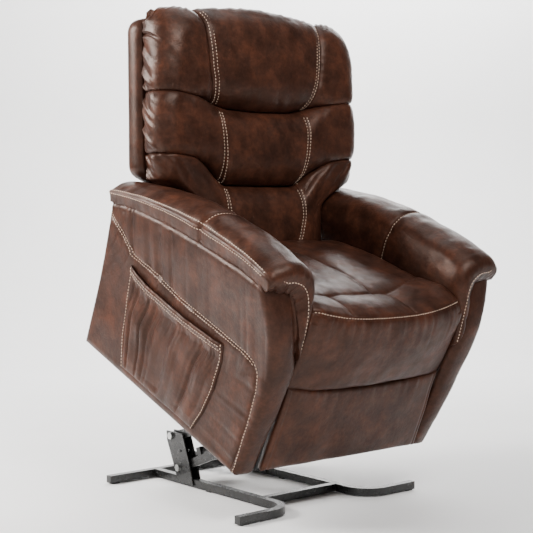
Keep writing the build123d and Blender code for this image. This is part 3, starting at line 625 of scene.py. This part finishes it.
def make_arm(tag, side):
    seed = 100 if side < 0 else 200
    # Outer side panel.
    e, f = np.meshgrid(crowd(190, 0.35), crowd(130, 0.35), indexing="ij")
    v = (hem_v(726 * e) + 10) * f
    start = arm_front_u(v)
    u = start + (728 - v * 0.02 - start) * e
    v = (hem_v(u) + 10) * f
    sink = panel_sink(u, v, seed)
    outer = seat(side * (panel_x(u, v) - sink), u, v)
    inner = seat(side * (panel_x(u, v) - 19 - 0.3 * sink), u, v)
    shell("side_panel_cover_" + tag, outer, inner, "chair_body", stands_for=["side_panel_" + tag])
    line = through(SEAM, 400)
    for offset in (-4.5, 4.5):
        step = np.gradient(line, axis=0)
        step /= np.linalg.norm(step, axis=1, keepdims=True)
        keep = slice(0, 400 if offset > 0 else 270)
        lu, lv = (line[:, 0] + offset * step[:, 1])[keep], (line[:, 1] - offset * step[:, 0])[keep]
        x = panel_x(lu, lv) - panel_sink(lu, lv, seed) + 0.5
        stitch("chair_body", seat(side * x, lu, lv), (side, 0, 0))
    # Front face of the arm.
    e, f = np.meshgrid(crowd(46), crowd(110), indexing="ij")
    v = 2 + 536 * f
    inner_x = curve(v,
        [(0, 291), (140, 295), (256, 288), (324, 290), (366, 303), (444, 312), (513, 322), (560, 326)])
    outer_x = panel_x(np.zeros_like(v), v) - 3
    x = inner_x + (outer_x - inner_x) * e
    edge = np.minimum(outer_x - x, x - inner_x)
    sink = 13 * shoulder(edge, 24) + 8 * shoulder(v, 16) + 1.2 * cloud(x, v, 60, seed + 9)
    sink += 1.3 * ripple(v, 13.0, seed + 8) * np.exp(-edge / 10.0)
    bulge = 7 * (1 - (2 * e - 1) ** 2)
    shell("arm_front_cover_" + tag, seat(side * x, arm_front_u(v) + sink - bulge, v),
          seat(side * x, arm_front_u(v) + 20, v), "chair_body", stands_for=["arm_front_" + tag])
    # Cover over the top, down the inner face and gathered round the front.
    straight = 40 + (738 - 40) * (1 - crowd(150, 0.25))
    turns = np.linspace(0, math.pi / 2, 40)[1:]
    tuck = np.linspace(0, 1, 6)[1:]
    u_row = np.concatenate([straight, np.full(len(turns) + len(tuck), 40.0)])
    top, hem = pad_top(u_row), hem_v(u_row)
    back_in = 8 * np.clip((u_row - 300) / 430, 0, 1)
    section = [(416 + 0 * top, hem), (421 + 0 * top, hem + 16), (426 + 0 * top, hem + 0.5 * (top - hem)),
               (417 + 0 * top, top - 24), (390 + 0 * top, top - 6), (352 + 0 * top, top),
               (308 - back_in, top - 9), (275 - back_in, top - 36), (262 - back_in, top - 84),
               (266 - back_in, 0.45 * top + 186), (280 - 0.5 * back_in, 374 + 0 * top),
               (291 + 0 * top, 306 + 0 * top),
               (294 + 0 * top, 256 + 0 * top)]
    section = np.stack([np.stack(p, -1) for p in section], 1)
    count = 150
    ring = through(section, count)
    hem_line = through([(417, 526), (415, 527), (404, 527), (391, 526), (375, 524), (355, 521),
        (340, 516), (330, 501),
                        (320, 470), (312, 436), (307, 392), (298, 354), (297, 262)], count)
    w = np.linspace(0, 12, count)
    length = np.concatenate([[0], np.cumsum(np.hypot(*np.diff(ring[0], axis=0).T))])
    phi = np.concatenate([np.zeros(len(straight)), turns, np.full(len(tuck), math.pi / 2)])[:, None]
    tucked = np.concatenate([np.zeros(len(straight) + len(turns)), tuck])[:, None]
    lip = (1 - np.cos(phi))[..., None]
    flat = ring + (hem_line[None] - ring) * lip
    end_u = arm_front_u(hem_line[:, 1]) - 9 + 26 * ease((w - 10.5) / 0.5)
    nose = curve(w, [(0, 0.35), (2, 0.8), (4, 1.0), (6, 1.0), (8, 0.75), (10, 0.4), (12, 0.1)])
    u = u_row[:, None] + (end_u[None] - 40) * np.sin(phi) - 20 * nose[None] * np.sin(2 * phi) + 12 * tucked
    tangent = np.gradient(flat, axis=1)
    tangent /= np.maximum(np.linalg.norm(tangent, axis=2, keepdims=True), 1e-9)
    inward = np.stack([tangent[..., 1], -tangent[..., 0]], -1)
    inward *= np.sign(np.sum(inward * (np.array([352.0, 470.0]) - flat), -1, keepdims=True))
    sink = 9 * shoulder(np.abs(u - PAD_SEAM_U), 34) + 3.5 * shoulder(np.abs(u - PAD_SEAM_U), 10)
    sink += (1.8 * ripple(length[None] + 0 * u, 20.0, seed + 20) * np.exp(-np.abs(u - PAD_SEAM_U) / 24)
        * (np.abs(u - PAD_SEAM_U) > 3))
    sink += (2.6 * cloud(u, length[None] + 0 * u, 80, seed + 21)
        + 1.0 * cloud(u, length[None] + 0 * u, 26, seed + 22))
    gather = np.sin(phi) ** 2 * (0.5 + 0.5 * np.sin(phi))
    ridge = np.exp(-((phi - 0.68 * math.pi / 2) / 0.09) ** 2)
    sink += 3.0 * ridge * np.clip(nose[None] * 1.4, 0, 1)
    sink += gather * (3.0 * ripple(length[None] + 0 * u, 10.0, seed + 23) + 1.8 * ripple(
        length[None] + 0 * u, 26.0, seed + 24)) * np.clip(nose[None] * 1.4, 0, 1)
    near_hem = np.clip(1 - np.abs(length[None] - 32.2) / 4, 0, 1) * np.cos(phi)
    sink += 2.0 * near_hem + 1.2 * ripple(u, 10.0, seed + 25) * np.exp(-length[None] / 24) * np.cos(phi)
    sink += 8 * shoulder(738 - u, 16)
    cover = flat + inward * sink[..., None]
    lining = flat + inward * (14 + 0.3 * sink[..., None])
    depth_in = 11 * np.sin(phi)
    shell("arm_pad_cover_" + tag, seat(side * cover[..., 0], u, cover[..., 1]),
          seat(side * lining[..., 0], u + depth_in, lining[..., 1]), "chair_body",
          stands_for=["arm_pad_" + tag] + (["arm_linings"] if side > 0 else []))
    # Sewn end closing the pad at the rear.
    rim = cover[0] + 1.0 * inward[0]
    chord = rim[0] + (rim[-1] - rim[0]) * (length / length[-1])[:, None]
    k = np.linspace(0, 1, 16)
    cap = rim[:, None] * (1 - k)[None, :, None] + chord[:, None] * k[None, :, None]
    puff = 4 * np.sin(math.pi * k)[None] + 0.8 * cloud(cap[..., 0], cap[..., 1], 40, seed + 30)
    shell("arm_pad_end_cover_" + tag, seat(side * cap[..., 0], 733 + puff, cap[..., 1]),
          seat(side * cap[..., 0], 722 + 0 * puff, cap[..., 1]), "chair_body")
    points = seat(side * cover[..., 0], u, cover[..., 1])
    out = seat(side * (cover - inward * 5)[..., 0], u, (cover - inward * 5)[..., 1]) - points
    long_rows = len(straight)
    for mm in (28.0, 36.5):
        k = np.interp(mm, length, np.arange(count))
        i = int(k)
        path = points[:long_rows, i] * (1 - k + i) + points[:long_rows, i + 1] * (k - i)
        stitch("chair_body", path + 0.0003 * np.array([side, 0, 0]), (side, 0, 0))
    row = int(np.argmin(np.abs(u_row[:long_rows] - (PAD_SEAM_U - 7))))
    keep = slice(int(np.searchsorted(length, 40)), count - 30)
    stitch("chair_body", points[row, keep], out[row, keep])
    columns = np.arange(int(np.searchsorted(length, 32)), int(np.searchsorted(w, 10.45)))
    row = long_rows - 1 + 0.68 * len(turns) * ease((length[columns] - 30) / 46)
    low, part = np.floor(row).astype(int), (row % 1)[:, None]
    path = points[low, columns] * (1 - part) + points[low + 1, columns] * part
    padded_path = np.pad(path, ((8, 8), (0, 0)), mode="reflect", reflect_type="odd")
    path = np.stack([np.convolve(padded_path[:, c], np.ones(17) / 17, mode="valid") for c in range(3)], -1)
    away = (out[low, columns] / np.linalg.norm(out[low, columns], axis=1, keepdims=True)
        + np.array([0, -COS, -SIN]))
    stitch("chair_body", path + 0.0005 * away, away)
    # Rear of the arm.
    e, f = np.meshgrid(crowd(30), crowd(70), indexing="ij")
    v = 4 + (pad_top(730.0) - 40) * f
    x = 300 + (panel_x(726 + 0 * v, v) - 306) * e
    edge = np.minimum(np.minimum(x - 300, panel_x(726 + 0 * v, v) - 6 - x), v)
    shell("arm_rear_cover_" + tag,
        seat(side * x, 727 - v * 0.02 - 7 * shoulder(edge, 14) + 0.8 * cloud(x, v, 40, seed), v),
          seat(side * x, 714 - v * 0.02, v), "chair_body")


make_arm("right", -1)
make_arm("left", 1)

# Gathered pocket on the right side panel.
POCKET_LOW = 26
e, f = np.meshgrid(crowd(180, 0.3), crowd(110, 0.3), indexing="ij")
lower_v = POCKET_LOW + 0 * e
v = (lower_v + (curve(146 + 432 * e,
    [(146, 307), (270, 302), (393, 303), (485, 305), (558, 317), (578, 324)]) - lower_v) * f)
fore = curve(v, [(20, 190), (91, 162), (173, 143), (263, 140), (330, 147)])
aft = curve(v, [(20, 530), (115, 556), (220, 570), (330, 579)])
u = fore + (aft - fore) * e
edge = np.minimum(np.minimum(u - fore, aft - u), v - POCKET_LOW)
top_d = np.max(v, axis=1, keepdims=True) - v
below_hem = np.clip((top_d - 20) / 22, 0, 1)
stand = 1.2 + 15 * (1 - shoulder(edge, 60)) * (0.65 + 0.35 * f - 0.45 * f ** 4)
fan = 430 * e + 14 * ripple(v, 90.0, 75)
stand -= (15 * pleats(fan, 27.0, 71) * (0.4 + 0.6 * f) + 5 * pleats(fan, 11.0, 72) * f ** 3) * np.clip(
    edge / 26, 0, 1) * below_hem
stand = np.maximum(stand, 0.8)
stand += 2.4 * cloud(u, v, 60, 73) * np.clip(edge / 30, 0, 1) * below_hem
roll = np.clip(1 - np.abs(top_d - 9) / 10, 0, 1)
stand += 3.4 * np.sqrt(roll) * np.clip(edge / 8, 0, 1) - 2.2 * shoulder(np.abs(top_d - 21), 6)
base = panel_x(u, v) - panel_sink(u, v, 100)
x = base + stand
shell("side_pocket_cover", seat(-x, u, v), seat(-(base + np.minimum(stand - 4, 0.55 * stand)), u, v),
    "chair_body",
      stands_for=["side_pocket"])
for below_top in (9.0, 21.0):
    hem_row = [[np.interp(-below_top, -top_d[r], grid[r]) for grid in (x, u, v)] for r in range(5,
        len(x) - 5)]
    hem_row = np.array(hem_row)
    stitch("chair_body", seat(-(hem_row[:, 0] + 0.5), hem_row[:, 1], hem_row[:, 2]), (-1, 0, 0))
for column in (3, -4):
    stitch("chair_body", seat(-(x[column] + 0.4), u[column], v[column]), (-1, 0, 0))

# ---------------------------------------------------------------- seat
SEAT_HALF = 266
x_row = (2 * crowd(150, 0.5) - 1) * SEAT_HALF
profile = through([(508, 410), (496, 428), (440, 442), (320, 462), (200, 473), (110, 477), (40, 474),
    (-12, 466),
                   (-36, 457), (-48, 432), (-51, 385), (-46, 325), (-38, 275), (-28, 250), (-6, 243)], 230)
length = np.concatenate([[0], np.cumsum(np.hypot(*np.diff(profile, axis=0).T))])
x, u = np.meshgrid(x_row, profile[:, 0], indexing="ij")
_, v = np.meshgrid(x_row, profile[:, 1], indexing="ij")
run = np.broadcast_to(length, x.shape)
tangent = np.gradient(profile, axis=0)
tangent /= np.linalg.norm(tangent, axis=1, keepdims=True)
out_u, out_v = tangent[:, 1], -tangent[:, 0]
out_u, out_v = np.broadcast_to(out_u, x.shape), np.broadcast_to(out_v, x.shape)
flip = -1 if out_v[75, 60] < 0 else 1
out_u, out_v = out_u * flip, out_v * flip
rise = 26 * (np.abs(x) / SEAT_HALF) ** 2.6 * np.clip((200 - u) / 160, 0, 1)
at_stitch = length[int(np.argmin(np.abs(profile[:, 0] + 36) + (profile[:, 1] < 440) * 999))]
below = run - at_stitch
flat_u = at_stitch - run
sink = np.where(below > 30, 9 * shoulder(SEAT_HALF - np.abs(x), 16),
    13 * shoulder(SEAT_HALF - np.abs(x), 34))
on_top = flat_u > 6
for line in ([(-262, -92), (-177, -107), (0, -112), (90, -116), (228, -165), (262, -190)],
             [(20, -112), (24, -250), (8, -420), (4, -505)],
             [(-150, -104), (-138, -50), (-130, 0)], [(70, -114), (84, -60), (92, 0)]):
    d, along = near_line(x, -flat_u, line)
    sink += np.where(on_top, 8.0 * shoulder(d, 70) + 2.4 * shoulder(d, 7), 0)
    sink += np.where(on_top, 1.2 * ripple(along, 16.0, 61) * np.exp(-d / 14) * np.clip(d / 5, 0, 1), 0)
sink += 4.0 * shoulder(np.abs(below), 14)
sink += np.where(below > 0, (2.2 * ripple(x, 8.0, 62) + 1.6 * ripple(x, 19.0, 63)) * np.exp(-below / 40)
                 * np.clip(below / 5, 0, 1), 0.9 * ripple(x, 15.0, 64) * np.exp(below / 18))
sink += 2.4 * cloud(x, run, 85, 65) + 0.9 * cloud(x, run, 28, 66)
sink -= 5 * np.clip((200 - flat_u) / 200, 0, 1) * np.clip((flat_u + 5) / 40, 0, 1)
rise = rise * np.clip((v - 243) / 140, 0, 1)
up = v + rise - out_v * sink
u = u + 20 * (np.abs(x) / SEAT_HALF) ** 2.6 * ease((90 - u) / 90)
spread = 1 + 0.075 * ease((478 - v) / 60) * ease((110 - u) / 90)
front = seat(x * spread, u - out_u * sink, up)
shell("seat_cushion_cover", front, seat(x * 0.97, u - out_u * 52, v + rise - out_v * 52), "chair_body",
      stands_for=["seat_cushion"])
k = int(np.argmin(np.abs(length - at_stitch)))
stitch("chair_body", front[3:-3, k] + np.array([0, -0.0004, 0.0007]), np.array([0, -0.6, 0.8]), radius=1.6)

# ---------------------------------------------------------------- footrest
FOOT_LOW = 14
FOOT_TOP = 242
e, f = np.meshgrid(crowd(120), crowd(70), indexing="ij")
v = FOOT_LOW + (FOOT_TOP - FOOT_LOW) * f + 20 * np.abs(2 * e - 1) ** 2.6 * f
half = 287 - 9 * f
x = (2 * e - 1) * half
edge = np.minimum(half - np.abs(x), np.minimum(v - FOOT_LOW, FOOT_TOP + 20 * np.abs(2 * e - 1) ** 2.6 - v))
sink = 9 * shoulder(edge, 14) + 3.4 * shoulder(np.abs(half - np.abs(x) - 15),
    8) - 5 * (1 - (2 * e - 1) ** 4) * (
    1 - (2 * f - 1) ** 4) + 1.8 * cloud(x, v, 70, 81)
sink += 1.6 * ripple(x, 14.0, 82) * np.exp(-(FOOT_TOP - v) / 22.0)
u_front = -24 + sink
shell("footrest_cover", seat(x, u_front, v), seat(x * 0.985, 4.5 + 0 * x, v), "footrest",
      stands_for=["footrest_pad"])
# Linings inside the arms, under the seat.
e, f = np.meshgrid(crowd(90), crowd(40), indexing="ij")
u, v = -8 + 700 * e, 10 + 252 * f
for tag, side in (("right", -1), ("left", 1)):
    shell("inner_lining_" + tag, seat(side * (293 + 0.8 * cloud(u, v, 60, 95)), u, v),
        seat(side * 298 + 0 * u, u, v),
          "chair_body", mat=finishes["backing"])

# Dust panel closing the rear of the body.
e, f = np.meshgrid(crowd(70), crowd(50), indexing="ij")
x, v = (2 * e - 1) * 344, 21 + 240 * f
shell("rear_dust_panel", seat(x, 711 + 1.5 * cloud(x, v, 70, 91), v), seat(x, 703 + 0 * x, v), "chair_body",
      mat=finishes["backing"], stands_for=["rear_panel"])
make_stitches()

# ---------------------------------------------------------------- studio
def studio_material():
    mat, nodes, links, shader = material("studio_floor")
    coord = nodes.new("ShaderNodeTexCoord").outputs["Object"]
    links.new(ramp(nodes, links, noise(nodes, links, coord, 3.0), [(0.3, grey(0.93)), (0.7, grey(0.95))]),
              shader.inputs["Base Color"])
    shader.inputs["Roughness"].default_value = 0.75
    return mat


steps = 40
sweep = [(-6.0, 0.0), (2.6, 0.0)]
sweep += [(2.6 + 1.4 * math.sin(a), 1.4 - 1.4 * math.cos(a)) for a in np.linspace(0.05, math.pi / 2, steps)]
sweep += [(4.0, 5.5)]
aim = np.array([0.6455, 0.7638])
cross = np.array([0.7638, -0.6455])
verts = []
for s, h in sweep:
    for w in (-7.0, 7.0):
        verts.append((*(aim * s + cross * w), h - 0.0005))
faces = [(2 * i, 2 * i + 1, 2 * i + 3, 2 * i + 2) for i in range(len(sweep) - 1)]
floor_mesh = bpy.data.meshes.new("studio_floor")
floor_mesh.from_pydata(verts, [], faces)
floor = bpy.data.objects.new("studio_floor", floor_mesh)
bpy.context.scene.collection.objects.link(floor)
floor_mesh.materials.append(studio_material())
floor_mesh.polygons.foreach_set("use_smooth", [True] * len(floor_mesh.polygons))


def area_light(name, place, target, size, power, colour=(1, 1, 1)):
    data = bpy.data.lights.new(name, "AREA")
    data.shape = "RECTANGLE"
    data.size, data.size_y = size
    data.energy = power
    data.color = colour
    obj = bpy.data.objects.new(name, data)
    obj.location = place
    obj.rotation_euler = (Vector(target) - Vector(place)).to_track_quat("-Z", "Y").to_euler()
    bpy.context.scene.collection.objects.link(obj)


area_light("window_left", (-2.6, 1.9, 2.3), (0, 0.1, 0.75), (1.6, 1.5), 280, (1.0, 0.97, 0.94))
area_light("front_left", (-3.0, -2.2, 2.4), (0, 0, 0.6), (1.6, 1.4), 20, (1.0, 0.98, 0.96))
area_light("back_fill", (-0.5, -2.3, 2.9), (0, 0.15, 1.2), (1.6, 1.2), 105, (1.0, 0.98, 0.96))
area_light("top_soft", (0.4, 0.2, 3.3), (0, 0, 0.6), (1.6, 1.6), 20)
area_light("backdrop_wash", (2.3, 1.9, 3.6), (3.3, 4.6, 0.9), (3.5, 2.0), 300)
world = bpy.data.worlds.new("studio_world")
bpy.context.scene.world = world
world.use_nodes = True
world.node_tree.nodes["Background"].inputs["Color"].default_value = (1.0, 0.98, 0.96, 1)
world.node_tree.nodes["Background"].inputs["Strength"].default_value = 0.15

camera_data = bpy.data.cameras.new("camera")
camera_data.lens = 83.8
camera_data.sensor_width = 36.0
camera = bpy.data.objects.new("camera", camera_data)
camera.location = (-2.3398, -2.6809, 0.8226)
pitch = math.radians(2.6)
aim_at = Vector((0.6455 * math.cos(pitch), 0.7638 * math.cos(pitch), -math.sin(pitch)))
camera.rotation_euler = aim_at.to_track_quat("-Z", "Y").to_euler()
bpy.context.scene.collection.objects.link(camera)
bpy.context.scene.camera = camera
